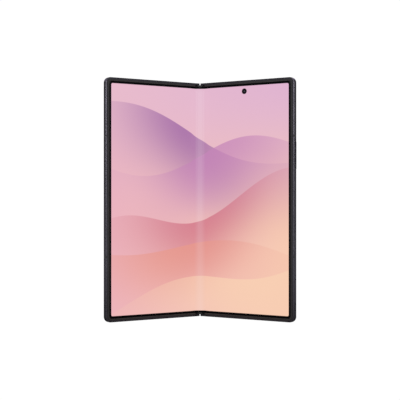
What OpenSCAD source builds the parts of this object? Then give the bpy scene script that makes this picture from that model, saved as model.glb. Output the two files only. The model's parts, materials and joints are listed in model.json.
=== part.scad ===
// Foldable smartphone that opens like a book, drawn standing half open on its lower edges.
// Each half is drawn flat, with its screen at y = 0 and its back at y = half_t, x out from
// the fold and z up, and is then turned about its own fold axis. The left half mirrors the
// right one. The origin lies on the ground, in the middle of the standing phone.

/* [Body] */
// Height along the fold
body_h = 158.4; // [150:0.1:175]
// Width of one half, from the fold to its outer edge
half_w = 71.6; // [70:0.1:80]
// Thickness of one half
half_t = 4.2; // [4.2:0.05:5]
// Wall of the frame
wall = 1.3; // [1.2:0.05:1.45]
// Radius of the outer corners
corner_r = 3.6; // [3.2:0.1:8]
// Radius of the corners beside the fold
fold_corner_r = 0.6; // [0.6:0.1:1.2]
// Distance of each half's inner edge from the fold
inner_edge = 0.3; // [0.05:0.05:0.4]
// Bevel round the front of the frame
bevel = 0.45; // [0.2:0.05:0.5]
// Rounding round the back of the frame
back_round = 0.9; // [0.4:0.05:1]
// Depth of the frame's front below the raised rim
rim_step = 0.3; // [0.2:0.05:0.35]
// Width of the raised rim round the screen
rim_w = 1.05; // [0.8:0.05:1.2]
// Thickness of the raised rim over the screen
rim_t = 0.22; // [0.15:0.01:0.22]
// Thickness of the inner screen
screen_t = 0.47; // [0.35:0.01:0.47]
// Thickness of the mid plate
mid_t = 0.5; // [0.4:0.05:0.6]
// Thickness of the outer glass
glass_t = 0.6; // [0.5:0.05:0.6]
// Thickness of the ledge that carries the outer glass
ledge_t = 0.4; // [0.3:0.05:0.4]

/* [Fold] */
// Angle of each half from flat, as the phone stands
rest_angle = 31.7; // [0:0.1:60]
// Half the distance between the two fold axes
axis_x = 1.9; // [1.85:0.01:1.95]
// Gap between the two screens' rims when the phone is closed
closed_gap = 0.5; // [0.4:0.02:0.6]
// Radius of the spine's round corners
spine_r = 1.85; // [1.8:0.01:1.87]
// Wall of the spine cover
spine_wall = 0.45; // [0.35:0.05:0.45]
// Teeth of each small hinge gear
gear_teeth = 10; // [10:2:12]
// Radius of the hinge pins
pin_r = 0.33; // [0.25:0.01:0.34]
// Distance of each hinge bracket from the end of the phone
bracket_in = 10; // [9:0.5:13]
// Width of the flexible part of the screen, from the fold to each side
flex_w = 8; // [7.8:0.05:8.1]
// Turn of a support wing for each degree of fold
wing_ratio = 0.289; // [0.26:0.001:0.295]

/* [Keys, ports and cameras] */
// Distance of the volume key's middle from the top
volume_down = 50.6; // [49:0.1:52]
// Length of the volume key
volume_l = 17.8; // [12:0.1:20]
// How far the volume key stands proud
volume_proud = 0.4; // [0.1:0.05:0.45]
// Distance of the side key's middle from the top
side_key_down = 75; // [73:0.1:77]
// Length of the side key
side_key_l = 13.5; // [10:0.1:15]
// Thickness of both keys
key_w = 1.5; // [1.2:0.05:1.6]
// Place of the charging port, from the fold
port_x = 35.8; // [34:0.1:38]
// Width of the charging port's mouth
port_w = 8.34; // [8.3:0.01:8.4]
// Height of the charging port's mouth
port_h = 2.56; // [2.5:0.01:2.58]
// Place of the inner camera, from the fold
inner_cam_x = 35; // [33:0.1:39]
// Distance of the inner camera from the top
inner_cam_down = 7.3; // [7:0.1:9]
// Radius of the inner camera's hole in the screen
inner_cam_r = 1.85; // [1.6:0.05:2]
// Distance of the rear cameras' middle from the outer edge
island_in = 12.8; // [11.6:0.1:14]
// Width of the rear camera island
island_w = 17; // [16:0.1:18]
// Length of the rear camera island
island_l = 52; // [48:0.5:53]
// Distance of the camera island from the top
island_down = 9; // [7:0.5:11]
// How far the camera island stands proud
island_t = 1.2; // [0.8:0.1:2]
// Radius of a rear camera's glass
lens_r = 5.1; // [4.6:0.1:5.4]
// Place of the card tray, from the fold
tray_x = 25.5; // [25:0.1:27]
// Width of the card tray's face
tray_w = 14; // [13:0.1:14.4]
// Length of the card tray
tray_l = 17; // [16:0.5:18]

/* [Inner parts] */
// Height of the main battery
main_battery_h = 65; // [50:0.5:66]
// Height of the second battery
second_battery_h = 80; // [60:0.5:82]
// Distance of the main battery from the bottom
main_battery_z = 24; // [22:0.5:25]
// Distance of the second battery from the bottom
second_battery_z = 32; // [27:0.5:33]
// Distance of each flat cable's middle from the end of the phone
cable_in = 57; // [50:0.5:60]
// Width of each flat cable
cable_w = 12; // [8:0.5:13]
// Radius of the charging coil
coil_r = 23; // [18:0.5:24]

/* [Hidden] */

// Seen from above the right half turns clockwise as it closes, so its sign is minus.
axis_y = axis_x - closed_gap / 2;
gap = 0.05;
run = 0.03;
fine = 48;
coarse = 32;

// Depths in the stack of one half, from the screen side to the back
screen_y = rim_t + 0.03;
screen_back = screen_y + screen_t;
mid_y = screen_back + 0.08;
seat_y = mid_y + mid_t;
glass_y = half_t - glass_t;
ledge_y = glass_y - ledge_t;
front_ledge_t = 0.6;
front_ledge_w = wall + 1.6;
back_ledge_w = wall + 0.8;

// Fold geometry, about each axis
swing_r = axis_x - inner_edge;
spine_in_r = spine_r - spine_wall;
spine_floor = axis_y + spine_in_r;
spine_open_y = axis_y + 0.6;
spine_end = wall + 0.1;
cap_t = 0.4;
support_y = 0.85;
support_t = 0.2;
support_w = 3.4;
support_back = support_y + support_t;
screen_margin = spine_end + cap_t + 0.1;
strip_x = 3.4;
strip_lip = strip_x - 0.25;
well_x = 8.7;
well_wall = 0.8;
cavity_x = well_x + well_wall;
rim_end_x = strip_x + 0.95;
cable_t = 0.12;

// Support wings
wing_x = well_x - 0.45;
wing_t = 0.35;
wing_y = mid_y + wing_t / 2;
wing_l = 4.3;
wing_pin_r = 0.2;

// Hinge module, measured along the fold from its outer cheek
cheek_t = 1.2;
slab_z = cheek_t + 0.1;
slab_t = 1.6;
stack_z = slab_z + slab_t + gap;
stack_l = 1.65;
cheek2_z = stack_z + stack_l + gap;
module_l = cheek2_z + cheek_t;
foot_l = 5;
foot_screws = [1.6, 3.8];
cheek_r = 1.3;
base_y = axis_y + 0.95;
gear_pitch_r = axis_x / 3;
idler_x = gear_pitch_r;
idler_axle_r = 0.22;
gear_module = 2 * gear_pitch_r / gear_teeth;
gear_tip_r = gear_pitch_r + 0.9 * gear_module;
gear_root_r = gear_pitch_r - 1.15 * gear_module;
arm_t = 0.8;
arm_back = seat_y + arm_t;
arm_w = 6;
arm_out = axis_x + 2.1;
arm_foot = cavity_x + 4.4;
link_front = axis_y - 0.15;
link_back = axis_y + 0.5;
arm_screw_x = cavity_x + 2.5;
arm_screw_dz = 1.8;
arm_z = bracket_in + slab_z + slab_t / 2;

// The standing pose puts the middle of the phone's depth over the origin.
front_most = turned([half_w - bevel, rim_step], rest_angle)[1];
back_most = turned([inner_edge + 0.3, half_t], rest_angle)[1];
origin_y = -(front_most + back_most) / 2;

// Keys, port and screws
volume_z = body_h - volume_down;
side_key_z = body_h - side_key_down;
key_y = (seat_y + ledge_y) / 2;
key_flange_w = key_w + 0.3;
key_flange_l = 0.6;
key_flange_t = 0.35;
volume_travel = 0.35;
volume_flange_x = half_w - wall - volume_travel;
fulcrum_r = 0.3;
dome_dz = 5;
switch_x = half_w - front_ledge_w - 1.6;
switch_t = 0.6;
port_y = screen_back + 0.05 + 0.12 + port_h / 2;
port_wall = 0.12;
port_l = 7.3;
screw_in = wall + 0.9;
screw_head_r = 0.8;
screw_head_t = 0.22;
screw_r = 0.45;
screw_xs = [cavity_x + 4.3, (cavity_x + half_w) / 2 + 4.95, half_w - 6];
side_screw_z = 39.6;
side_screw_down = 36.4;

// Plastic inlays of the frame
band_w = 1.2;
band_t = 0.5;
band_low_z = 42.3;
band_high_z = body_h - 38;
band_in = 8;

// Cells, boards and other boxes
cell_front = seat_y + gap;
box_back = ledge_y - 0.1;
battery_back = ledge_y - 0.05;
rib_t = 0.7;
rib_gap = 0.8;
board_t = 0.5;
cam_box = 2.8;
cover_cam_x = tray_x + 11;
lens_box = 5.6;
flash_r = 2;
board_x = cavity_x + 0.7;
board_gap = 3;
sub_board_x = half_w - 5.6;
sub_board_z = [second_battery_z + second_battery_h + board_gap, body_h - tray_l - 6.9];
main_board_x = half_w - island_in - lens_box - 5.7;
main_board_z = [main_battery_z + main_battery_h + board_gap,
    body_h - island_down - island_w / 2 - flash_r - 1.4];
shield_edge = 2.3;
shield_wall = 2;
motor_x = cavity_x + 7.5;
motor_z = 11;
motor_size = [13, 12];
speaker_l = 14;
speaker_in = 6;
speaker_gap = 1.7;
port_room = 7.5;
speaker_out = half_w - speaker_in;
upper_speaker_x = cover_cam_x + cam_box + speaker_gap;
lower_speaker_x = port_x + port_w / 2 + port_room;
magnet_z = 30;
magnet_l = 12;
magnet_pitch = 16;
magnet_w = 1.55;
coil_x = (cavity_x + half_w) / 2 - 1.55;

// Card tray: a face, and a frame round one card
tray_y = seat_y + 0.8;
tray_t = 1.3;
card_w = 8.9;
card_l = 12.4;

// Cameras and sound holes
lens_step = island_l / 3 - 1;
island_x = half_w - island_in;
island_top = body_h - island_down;
island_mid = island_top - island_l / 2;
cover_cam_z = body_h - 9;
cover_cam_r = 1.6;
lens_ring_h = 0.6;
lens_ring_w = 1.4;
earpiece_l = 11;
earpiece_w = 0.4;
left_sound_x = upper_speaker_x + 5;
right_sound_x = lower_speaker_x + 2.5;
mic_x = 8.4;
mic_r = 0.4;
hole_count = 5;
hole_pitch = 2.4;
hole_y = seat_y + 1.15;
hole_r = 0.55;

// A point of a flat half, turned about the fold axis of the right half
function turned(p, a) = [
    axis_x + (p[0] - axis_x) * cos(a) + (p[1] - axis_y) * sin(a),
    axis_y - (p[0] - axis_x) * sin(a) + (p[1] - axis_y) * cos(a)];
function smooth(t) = t * t * (3 - 2 * t);

// Share of the fold that a point of the flexible screen keeps, 0 at the spine and 1 at a half
function fold_share(u) = 1 - smooth(1 - abs(u) / flex_w);
function fold_point(u, y) =
    let (p = turned([abs(u), y], rest_angle * fold_share(u))) [u < 0 ? -p[0] : p[0], p[1]];

// Turns a flat half (side 1 is the right one) to the standing pose
module on_half(side) {
    translate([0, origin_y, 0])
        mirror([side < 0 ? 1 : 0, 0, 0])
            translate([axis_x, axis_y, 0])
                rotate([0, 0, -rest_angle])
                    translate([-axis_x, -axis_y, 0]) children();
}

module on_spine() {
    translate([0, origin_y, 0]) children();
}

// Draws at the lower end, or mirrored at the upper one
module at_end(upper) {
    if (upper) translate([0, 0, body_h]) mirror([0, 0, 1]) children();
    else children();
}

module rounded(x, z, r) {
    if (r > 0) {
        translate([x[0] + r, z[0]]) square([x[1] - x[0] - 2 * r, z[1] - z[0]]);
        translate([x[0], z[0] + r]) square([x[1] - x[0], z[1] - z[0] - 2 * r]);
        for (cx = [x[0] + r, x[1] - r], cz = [z[0] + r, z[1] - r])
            translate([cx, cz]) circle(r = r, $fn = fine);
    }
    else translate([x[0], z[0]]) square([x[1] - x[0], z[1] - z[0]]);
}

// A plate with round corners, seen from the front, between two depths
module slab(x, y, z, r = 0) {
    translate([0, y[1], 0])
        rotate([90, 0, 0])
            linear_extrude(y[1] - y[0]) rounded(x, z, r);
}

module post(x, z, y, r, sides = coarse) {
    translate([x, y[0], z])
        rotate([-90, 0, 0]) cylinder(h = y[1] - y[0], r = r, $fn = sides);
}

// Carries a section, drawn as depth inwards from the outer face and depth from the front,
// along the top, the outer side and the bottom of a half
module rail(points, from_x) {
    section = [for (p = points) [corner_r - p[0], p[1]]];
    cx = half_w - corner_r;
    translate([cx, 0, corner_r])
        linear_extrude(body_h - 2 * corner_r) polygon(section);
    translate([cx, 0, body_h - corner_r])
        rotate([0, -90, 0]) linear_extrude(cx - from_x) polygon(section);
    translate([from_x, 0, corner_r])
        rotate([0, 90, 0]) linear_extrude(cx - from_x) polygon(section);
    translate([cx, 0, body_h - corner_r])
        rotate([-90, 0, 0]) rotate([0, 0, -90])
            rotate_extrude(angle = 90, $fn = fine) polygon(section);
    translate([cx, 0, corner_r])
        rotate([-90, 0, 0])
            rotate_extrude(angle = 90, $fn = fine) polygon(section);
}

// Section of the frame: bevel, wall, a ledge for the mid plate and one for the outer glass
frame_section = concat(
    [[0, rim_step + bevel], [bevel, rim_step], [wall, rim_step], [wall, seat_y],
     [front_ledge_w, seat_y], [front_ledge_w, seat_y + front_ledge_t],
     [wall, seat_y + front_ledge_t], [wall, ledge_y], [back_ledge_w, ledge_y],
     [back_ledge_w, glass_y], [wall, glass_y], [wall, half_t]],
    [for (a = [90:-15:0]) [back_round * (1 - cos(a)), half_t - back_round * (1 - sin(a))]]);

// Cross-section of the strip along the fold: a thin cover over the spine, a ledge for the
// outer glass and the wall that closes the cavity
strip_section = [
    [inner_edge, glass_y + 0.3], [inner_edge, glass_y], [strip_lip, glass_y], [strip_lip, ledge_y],
    [well_x, ledge_y], [well_x, seat_y], [cavity_x, seat_y], [cavity_x, glass_y],
    [strip_x, glass_y], [strip_x, half_t], [inner_edge + 0.3, half_t]];

module frame_blank() {
    difference() {
        union() {
            rail(frame_section, inner_edge);
            translate([0, 0, wall - gap])
                linear_extrude(body_h - 2 * wall + 2 * gap) polygon(strip_section);
        }
        well_cut();
        fold_edge_cut();
        for (upper = [false, true]) at_end(upper) {
            fold_corner_cut();
            translate([wing_x, wing_y, wall - 0.9])
                cylinder(h = 1, r = wing_pin_r + run, $fn = coarse);
            arm_slot();
            slab([well_x - 1, cavity_x + 1], [ledge_y - 0.6, ledge_y - 0.2],
                [cable_in - cable_w / 2 - 0.5, cable_in + cable_w / 2 + 0.5]);
        }
        screw_holes([seat_y - 0.1, seat_y + 0.45]);
        antenna_bands();
    }
}

// Room for the spine, the wings and the arms
module well_cut() {
    slab([-1, well_x], [-1, ledge_y], [wall, body_h - wall]);
    slab([-1, strip_lip], [-1, glass_y], [wall, body_h - wall]);
}

// In front of the fold axis the half ends in an arc about it, so that it turns clear
module fold_edge_cut() {
    translate([0, 0, -1])
        linear_extrude(body_h + 2) difference() {
            translate([-1, -1]) square([axis_x + 1, axis_y + 1]);
            translate([axis_x, axis_y]) circle(r = swing_r, $fn = fine);
        }
}

module fold_corner_cut() {
    translate([0, half_t + 1, 0])
        rotate([90, 0, 0])
            linear_extrude(half_t + 2) difference() {
                translate([inner_edge - 1, -1]) square([fold_corner_r + 1, fold_corner_r + 1]);
                translate([inner_edge + fold_corner_r, fold_corner_r]) circle(r = fold_corner_r, $fn = fine);
            }
}

module arm_slot() {
    slab([well_x - 1, cavity_x + 1], [seat_y - 0.1, arm_back + gap],
        [arm_z - arm_w / 2 - gap, arm_z + arm_w / 2 + gap]);
}

// Places of the screws that hold the mid plate on the frame's front ledge
function screw_places() = concat(
    [for (x = screw_xs, z = [screw_in, body_h - screw_in]) [x, z]],
    [for (z = [side_screw_z, body_h - side_screw_down]) [half_w - screw_in, z]]);

function arm_screw_places() = [
    for (z = [arm_z, body_h - arm_z], dz = [-arm_screw_dz, arm_screw_dz]) [arm_screw_x, z + dz]];

module screw_holes(y) {
    for (p = screw_places()) post(p[0], p[1], y, screw_r);
}

// Plastic inlays that split the metal frame into aerials
module antenna_bands() {
    band = [for (p = [[-0.01, 0], [band_t, 0], [band_t, half_t], [-0.01, half_t]])
        [corner_r - p[0], p[1]]];
    for (z = [band_low_z, band_high_z])
        translate([half_w - corner_r, 0, z - band_w / 2])
            linear_extrude(band_w) polygon(band);
    for (upper = [false, true]) at_end(upper)
        translate([half_w - band_in, 0, 0]) cube([band_w, half_t, band_t]);
}

module band_pieces() {
    intersection() {
        rail(frame_section, inner_edge);
        antenna_bands();
    }
}

// The mid plate carries the screen in front and the boards behind, with a rib below and above
// the battery
module midplate_blank(battery_z, battery_h) {
    outer = [cavity_x - well_wall + gap, half_w - wall - gap];
    plate_z = [wall + gap, body_h - wall - gap];
    r = corner_r - wall - gap;
    difference() {
        union() {
            slab([outer[0], outer[1] - r], [mid_y, seat_y], plate_z);
            slab([outer[1] - 3 * r, outer[1]], [mid_y, seat_y], plate_z, r);
            for (z = [battery_z - rib_gap - rib_t, battery_z + battery_h + rib_gap])
                slab([cavity_x + 0.6, half_w - 8], [seat_y - gap, ledge_y - 0.3], [z, z + rib_t]);
        }
        for (p = screw_places()) {
            post(p[0], p[1], [mid_y - 1, seat_y + 1], screw_r + gap);
            post(p[0], p[1], [mid_y - 1, mid_y + screw_head_t], screw_head_r + gap);
        }
        for (p = arm_screw_places()) post(p[0], p[1], [mid_y + 0.1, seat_y + 1], screw_r);
    }
}

// The rim is glued over the edges of the screen and stops short of the fold
module bezel() {
    u0 = wall + gap;
    rail([[u0, rim_t / 2], [u0 + rim_t / 2, 0], [u0 + rim_w - 0.2, 0], [u0 + rim_w, rim_t / 2],
        [u0 + rim_w, rim_t], [u0 + 0.25, rim_t], [u0 + 0.25, mid_y - gap], [u0, mid_y - gap]], rim_end_x);
}

module display_panel() {
    r = corner_r - screen_margin;
    slab([flex_w + 0.02, half_w - screen_margin - 2 * r], [screen_y, screen_back],
        [screen_margin, body_h - screen_margin]);
    slab([half_w - screen_margin - 4 * r, half_w - screen_margin], [screen_y, screen_back],
        [screen_margin, body_h - screen_margin], r);
}

module outer_glass() {
    r = corner_r - wall - gap;
    x = [strip_x + gap, half_w - wall - gap];
    z = [wall + gap, body_h - wall - gap];
    slab([x[0], x[1] - 2 * r], [glass_y, half_t], z);
    slab([x[1] - 4 * r, x[1]], [glass_y, half_t], z, r);
}

// Outline of one small gear, six points to a tooth
function gear_outline(phase) =
    let (pitch = 360 / gear_teeth,
        tooth = [[gear_root_r, -0.35], [gear_pitch_r, -0.22], [gear_tip_r, -0.1],
            [gear_tip_r, 0.1], [gear_pitch_r, 0.22], [gear_root_r, 0.35]])
    [for (i = [0:gear_teeth - 1], p = tooth)
        let (a = phase + (i + p[1]) * pitch) [p[0] * cos(a), p[0] * sin(a)]];

// Side view of an arm: it dips behind the bulge of the closed screen and comes forward again
// to the back of the mid plate
arm_section = [
    [arm_out, ledge_y - 0.6], [axis_x + 3.7, ledge_y - 0.6], [well_x - 1.1, seat_y + 0.3],
    [well_x + 0.1, seat_y], [arm_foot, seat_y], [arm_foot, arm_back], [well_x - 0.5, arm_back],
    [axis_x + 4.3, ledge_y - 0.08], [arm_out, ledge_y - 0.08]];

// An arm turns on its pin by a toothed eye, and its wide foot is screwed to the mid plate
module arm(upper, phase) {
    at_end(upper) {
        difference() {
            union() {
                translate([axis_x, axis_y, bracket_in + slab_z])
                    linear_extrude(slab_t) polygon(gear_outline(phase));
                translate([0, 0, bracket_in + slab_z])
                    linear_extrude(slab_t) polygon([
                        [axis_x + pin_r + 0.1, link_front], [arm_out + 0.6, link_front],
                        [arm_out + 0.6, ledge_y - 0.08], [arm_out, ledge_y - 0.08],
                        [arm_out, link_back], [axis_x + pin_r + 0.1, link_back]]);
                translate([0, 0, arm_z - arm_w / 2])
                    linear_extrude(arm_w) polygon(arm_section);
            }
            translate([axis_x, axis_y, bracket_in])
                cylinder(h = module_l, r = pin_r + run, $fn = coarse);
            for (z = [arm_z - arm_screw_dz, arm_z + arm_screw_dz])
                post(arm_screw_x, z, [0, half_t], screw_r + gap);
        }
    }
}

module half_screws() {
    for (p = screw_places()) {
        post(p[0], p[1], [mid_y, mid_y + screw_head_t], screw_head_r);
        post(p[0], p[1], [mid_y, seat_y + 0.45], screw_r);
    }
    for (p = arm_screw_places()) {
        post(p[0], p[1], [arm_back, arm_back + 0.3], screw_head_r);
        post(p[0], p[1], [mid_y + 0.1, arm_back + 0.1], screw_r);
    }
}

module magnets() {
    x = half_w - front_ledge_w - gap;
    for (z = [magnet_z, magnet_z + magnet_pitch])
        slab([x - magnet_w, x], [cell_front, box_back], [z, z + magnet_l]);
}

// A wing holds up the flexible screen and tips back as the phone closes
module wing_plate() {
    z0 = wall + 0.15;
    translate([wing_x, wing_y, 0])
        rotate([0, 0, -rest_angle * wing_ratio])
            difference() {
                union() {
                    translate([-wing_l, -wing_t / 2, z0])
                        cube([wing_l, wing_t, body_h - 2 * z0]);
                    translate([0, 0, z0])
                        cylinder(h = body_h - 2 * z0, r = wing_t / 2, $fn = coarse);
                    for (upper = [false, true]) at_end(upper)
                        translate([0, 0, wall - 0.8])
                            cylinder(h = 1.5, r = wing_pin_r, $fn = coarse);
                }
                for (upper = [false, true]) at_end(upper)
                    translate([-wing_l - 1, -1, arm_z - arm_w / 2 - 0.3])
                        cube([wing_l + 1 - wing_t, 2, arm_w + 0.6]);
            }
}

// Outline of the spine with corners of one radius about the fold axes
module spine_outline(r) {
    translate([-axis_x, axis_y - r / 2]) square([2 * axis_x, 1.5 * r]);
    for (side = [-1, 1]) translate([side * axis_x, axis_y]) circle(r = r, $fn = fine);
}

module spine_cover() color([0.23, 0.22, 0.25]) on_spine() {
    difference() {
        translate([0, 0, spine_end])
            linear_extrude(body_h - 2 * spine_end) intersection() {
                difference() {
                    spine_outline(spine_r);
                    spine_outline(spine_in_r);
                }
                translate([-5, spine_open_y]) square([10, 5]);
            }
        for (upper = [false, true]) at_end(upper)
            for (z = foot_screws)
                post(0, bracket_in + module_l + z, [spine_floor - 1, spine_floor + 0.3], screw_r);
    }
}

module spine_end_caps() color([0.06, 0.06, 0.07]) on_spine() {
    for (upper = [false, true]) at_end(upper) {
        translate([0, 0, spine_end])
            linear_extrude(cap_t) {
                intersection() {
                    spine_outline(spine_in_r - 0.02);
                    translate([-5, axis_y - 0.4]) square([10, 5]);
                }
                translate([-axis_x, 0]) square([2 * axis_x, axis_y]);
            }
        translate([0, screen_y - gap, 0])
            rotate([90, 0, 0])
                linear_extrude(screen_y - gap) intersection() {
                    translate([0, spine_end - 0.6]) circle(r = 2.1, $fn = fine);
                    translate([-axis_x, spine_end]) square([2 * axis_x, 3]);
                }
    }
}

// Bars under the crease: short ones on the outer cheeks, and a long one with a rib down to the
// spine cover, open where the gears turn and where the cables cross
module fold_support() color([0.55, 0.55, 0.57]) on_spine() {
    gears = [bracket_in + slab_z - 0.15, bracket_in + slab_z + slab_t + 0.15];
    rib_z = bracket_in + module_l + foot_l + 0.5;
    for (upper = [false, true]) at_end(upper)
        slab([-support_w, support_w], [support_y, support_back], [screen_margin, gears[0]]);
    difference() {
        union() {
            slab([-support_w, support_w], [support_y, support_back], [gears[1], body_h - gears[1]]);
            slab([-0.3, 0.3], [support_back - gap, spine_floor], [rib_z, body_h - rib_z]);
        }
        for (z = [cable_in, body_h - cable_in])
            slab([-1, 1], [support_back + 0.2, half_t], [z - cable_w / 2 - 0.5, z + cable_w / 2 + 0.5]);
    }
}

// The middle of the inner screen, bent from the spine to each half
module display_fold_zone() color([0.86, 0.66, 0.74]) on_spine() {
    steps = 24;
    us = [for (i = [-steps:steps]) flex_w * i / steps];
    front = [for (u = us) fold_point(u, screen_y)];
    back = [for (i = [len(us) - 1:-1:0]) fold_point(us[i], screen_back)];
    translate([0, 0, screen_margin])
        linear_extrude(body_h - 2 * screen_margin) polygon(concat(front, back));
}

// Flat cables that cross the spine in front of its cover
module hinge_flex_cables() color([0.72, 0.45, 0.15]) on_spine() {
    inner = [turned([cavity_x + 0.8, ledge_y - 0.35], rest_angle),
        turned([4.7, ledge_y - 0.35], rest_angle), [3, axis_y + 0.15], [0.8, axis_y + 0.35]];
    line = concat(inner, [for (i = [3:-1:0]) [-inner[i][0], inner[i][1]]]);
    back = [for (i = [7:-1:0]) line[i] + [0, cable_t]];
    for (z = [cable_in, body_h - cable_in])
        translate([0, 0, z - cable_w / 2]) linear_extrude(cable_w) polygon(concat(line, back));
}

// Two bearing cheeks on a foot, with bores for the pins and the idler axles
module hinge_bracket(upper) {
    on_spine() at_end(upper) translate([0, 0, bracket_in]) {
        difference() {
            union() {
                for (z = [0, cheek2_z]) translate([0, 0, z])
                    linear_extrude(cheek_t) {
                        for (side = [-1, 1])
                            translate([side * axis_x, axis_y]) circle(r = cheek_r, $fn = fine);
                        translate([-axis_x, support_back]) square([2 * axis_x, spine_floor - support_back]);
                    }
                slab([-axis_x, axis_x], [base_y, spine_floor], [0, module_l + foot_l]);
            }
            for (side = [-1, 1]) {
                translate([side * axis_x, axis_y, -1])
                    cylinder(h = module_l + 2, r = pin_r, $fn = coarse);
                translate([side * idler_x, axis_y, -1])
                    cylinder(h = module_l + 2, r = idler_axle_r + run, $fn = coarse);
            }
            for (z = foot_screws) post(0, module_l + z, [0, half_t], screw_r + gap);
            translate([-5, -1, -1]) cube([10, support_back + 1, module_l + 2]);
        }
    }
}

module upper_hinge_bracket() color([0.5, 0.5, 0.52]) hinge_bracket(true);
module lower_hinge_bracket() color([0.5, 0.5, 0.52]) hinge_bracket(false);

module hinge_pins() color([0.75, 0.75, 0.77]) on_spine() {
    for (upper = [false, true]) at_end(upper)
        for (side = [-1, 1])
            translate([side * axis_x, axis_y, bracket_in + 0.1]) {
                cylinder(h = module_l - 0.1, r = pin_r, $fn = coarse);
                translate([0, 0, module_l - 0.1]) cylinder(h = 0.35, r = 0.6, $fn = coarse);
            }
}

// Stacks of dished washers that press on the arms, so that the phone stays where it is put
module friction_springs() color([0.62, 0.6, 0.55]) on_spine() {
    count = 4;
    step = stack_l / count;
    t = 0.14;
    inner_r = pin_r + run;
    outer_r = 0.58;
    rise = step - t - 0.02;
    for (upper = [false, true]) at_end(upper)
        for (side = [-1, 1], i = [0:count - 1]) {
            low_r = i % 2 == 0 ? outer_r : inner_r;
            high_r = i % 2 == 0 ? inner_r : outer_r;
            translate([side * axis_x, axis_y, bracket_in + stack_z + i * step])
                rotate_extrude($fn = fine)
                    polygon([[low_r, 0], [high_r, rise], [high_r, rise + t], [low_r, t]]);
        }
}

module spine_screws() color([0.7, 0.7, 0.7]) on_spine() {
    for (upper = [false, true]) at_end(upper)
        for (z = foot_screws) {
            post(0, bracket_in + module_l + z, [base_y - 0.3, base_y], screw_head_r);
            post(0, bracket_in + module_l + z, [base_y - 0.1, spine_floor + 0.3], screw_r);
        }
}

// A small gear on its own axle, in mesh with the arm's eye and with the other idler
module idler(upper, side) {
    phase = side > 0 ? 180 / gear_teeth : 0;
    on_spine() at_end(upper) translate([side * idler_x, axis_y, bracket_in]) {
        rotate([0, 0, side * rest_angle])
            translate([0, 0, slab_z]) linear_extrude(slab_t) polygon(gear_outline(phase));
        translate([0, 0, 0.2]) cylinder(h = module_l - 0.4, r = idler_axle_r, $fn = coarse);
    }
}

module upper_left_idler() color([0.8, 0.75, 0.6]) idler(true, -1);
module lower_left_idler() color([0.8, 0.75, 0.6]) idler(false, -1);
module upper_right_idler() color([0.8, 0.75, 0.6]) idler(true, 1);
module lower_right_idler() color([0.8, 0.75, 0.6]) idler(false, 1);
module upper_left_arm() color([0.6, 0.6, 0.62]) on_half(-1) arm(true, 180 / gear_teeth);
module lower_left_arm() color([0.6, 0.6, 0.62]) on_half(-1) arm(false, 180 / gear_teeth);
module upper_right_arm() color([0.6, 0.6, 0.62]) on_half(1) arm(true, 0);
module lower_right_arm() color([0.6, 0.6, 0.62]) on_half(1) arm(false, 0);

module sound_holes(x0) {
    for (i = [0:hole_count - 1])
        translate([x0 + i * hole_pitch, hole_y, -1]) cylinder(h = wall + 2, r = hole_r, $fn = coarse);
}

module left_frame() color([0.2, 0.19, 0.22]) on_half(-1) difference() {
    frame_blank();
    at_end(true) {
        sound_holes(left_sound_x);
        mic_hole(cover_cam_x + mic_x / 2);
        tray_slot(gap);
    }
}

module mic_hole(x) {
    translate([x, hole_y, -1]) cylinder(h = wall + 2, r = mic_r, $fn = coarse);
}

// The slot through the top wall and the ledge behind it
module tray_slot(clear) {
    translate([0, 0, -1])
        linear_extrude(wall + 3)
            rounded([tray_x - tray_w / 2 - clear, tray_x + tray_w / 2 + clear],
                [tray_y - tray_t / 2 - clear, tray_y + tray_t / 2 + clear], 0.5);
}

module sim_tray() color([0.2, 0.19, 0.22]) on_half(-1) at_end(true) difference() {
    union() {
        translate([0, 0, gap])
            linear_extrude(wall - 2 * gap)
                rounded([tray_x - tray_w / 2, tray_x + tray_w / 2],
                    [tray_y - tray_t / 2, tray_y + tray_t / 2], 0.5);
        slab([tray_x - tray_w / 2 + 0.4, tray_x + tray_w / 2 - 0.4], [tray_y - 0.4, tray_y + 0.4],
            [wall - 0.2, tray_l], 0.1);
    }
    slab([tray_x - card_w / 2, tray_x + card_w / 2], [0, half_t],
        [tray_l - 1.2 - card_l, tray_l - 1.2], 0.8);
    translate([tray_x + 5.7, tray_y, -1]) cylinder(h = 1.6, r = 0.4, $fn = coarse);
}

module sim_reader() color([0.6, 0.6, 0.6]) on_half(-1) at_end(true) difference() {
    slab([tray_x - tray_w / 2 - 0.8, tray_x + tray_w / 2 + 0.8], [cell_front, ledge_y - 0.2],
        [front_ledge_w + gap, tray_l + 4]);
    slab([tray_x - tray_w / 2 + 0.3, tray_x + tray_w / 2 - 0.3], [tray_y - 0.5, tray_y + 0.5],
        [0, tray_l + 0.3]);
}

module left_midplate() color([0.5, 0.5, 0.52]) on_half(-1)
    midplate_blank(second_battery_z, second_battery_h);
module left_bezel() color([0.12, 0.12, 0.13]) on_half(-1) bezel();
module left_display() color([0.9, 0.7, 0.78]) on_half(-1) display_panel();

// The cover glass has a slot for the earpiece in its upper edge
module cover_glass() color([0.05, 0.05, 0.06]) on_half(-1) difference() {
    outer_glass();
    slab([cover_cam_x - earpiece_l / 2, cover_cam_x + earpiece_l / 2], [glass_y - 1, half_t + 1],
        [body_h - wall - gap - earpiece_w, body_h]);
}

module cover_display() color([0.1, 0.1, 0.12]) on_half(-1) difference() {
    slab([cavity_x + gap, half_w - back_ledge_w - 0.3], [ledge_y + gap, glass_y - 0.02],
        [back_ledge_w + 0.3, body_h - back_ledge_w - 0.3], 1);
    post(cover_cam_x, cover_cam_z, [0, half_t], cover_cam_r + 0.2);
}

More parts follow.
